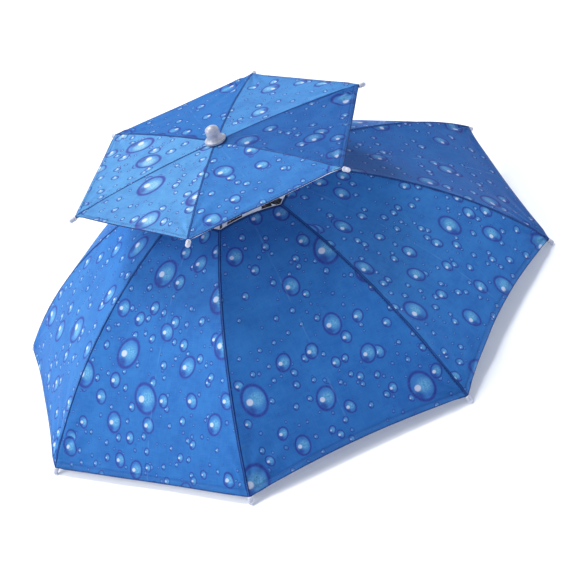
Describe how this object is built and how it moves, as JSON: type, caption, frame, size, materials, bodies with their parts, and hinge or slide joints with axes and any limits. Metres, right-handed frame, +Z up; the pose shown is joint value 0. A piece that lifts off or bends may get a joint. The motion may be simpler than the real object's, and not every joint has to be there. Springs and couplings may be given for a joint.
{
  "type": "umbrella hat with two canopy tiers",
  "caption": "Hands-free sunshade worn on the head: a small vented canopy on a post above a wide canopy, with a head frame and an elastic headband inside.",
  "frame": {"origin": "on the surface that the rib tips stand on, under the post", "axes": "+Z up along the post, +X towards the large canopy's first rib, +Y towards its third"},
  "size_m": [0.7025, 0.7037, 0.2699],
  "materials": {
    "printed_cloth": "satin polyester with a printed pattern of water drops",
    "rod": "black enamelled steel",
    "moulding": "black moulded plastic",
    "tip": "white moulded plastic",
    "ferrule": "grey translucent moulded plastic",
    "elastic": "black woven elastic"
  },
  "bodies": {
    "root": {"lower_canopy": "printed_cloth", "upper_canopy": "printed_cloth", "lower_rib_1": "rod", "lower_stretcher_1": "rod", "lower_tip_1": "tip", "lower_rib_2": "rod", "lower_stretcher_2": "rod", "lower_tip_2": "tip", "lower_rib_3": "rod", "lower_stretcher_3": "rod", "lower_tip_3": "tip", "lower_rib_4": "rod", "lower_stretcher_4": "rod", "lower_tip_4": "tip", "lower_rib_5": "rod", "lower_stretcher_5": "rod", "lower_tip_5": "tip", "lower_rib_6": "rod", "lower_stretcher_6": "rod", "lower_tip_6": "tip", "lower_rib_7": "rod", "lower_stretcher_7": "rod", "lower_tip_7": "tip", "lower_rib_8": "rod", "lower_stretcher_8": "rod", "lower_tip_8": "tip", "upper_rib_1": "rod", "upper_stretcher_1": "rod", "upper_tip_1": "tip", "upper_rib_2": "rod", "upper_stretcher_2": "rod", "upper_tip_2": "tip", "upper_rib_3": "rod", "upper_stretcher_3": "rod", "upper_tip_3": "tip", "upper_rib_4": "rod", "upper_stretcher_4": "rod", "upper_tip_4": "tip", "upper_rib_5": "rod", "upper_stretcher_5": "rod", "upper_tip_5": "tip", "upper_rib_6": "rod", "upper_stretcher_6": "rod", "upper_tip_6": "tip", "lower_hub": "moulding", "upper_hub": "moulding", "lower_runner": "moulding", "upper_runner": "moulding", "post": "rod", "ferrule": "ferrule", "head_frame": "moulding", "headband": "elastic"}
  },
  "joints": []
}
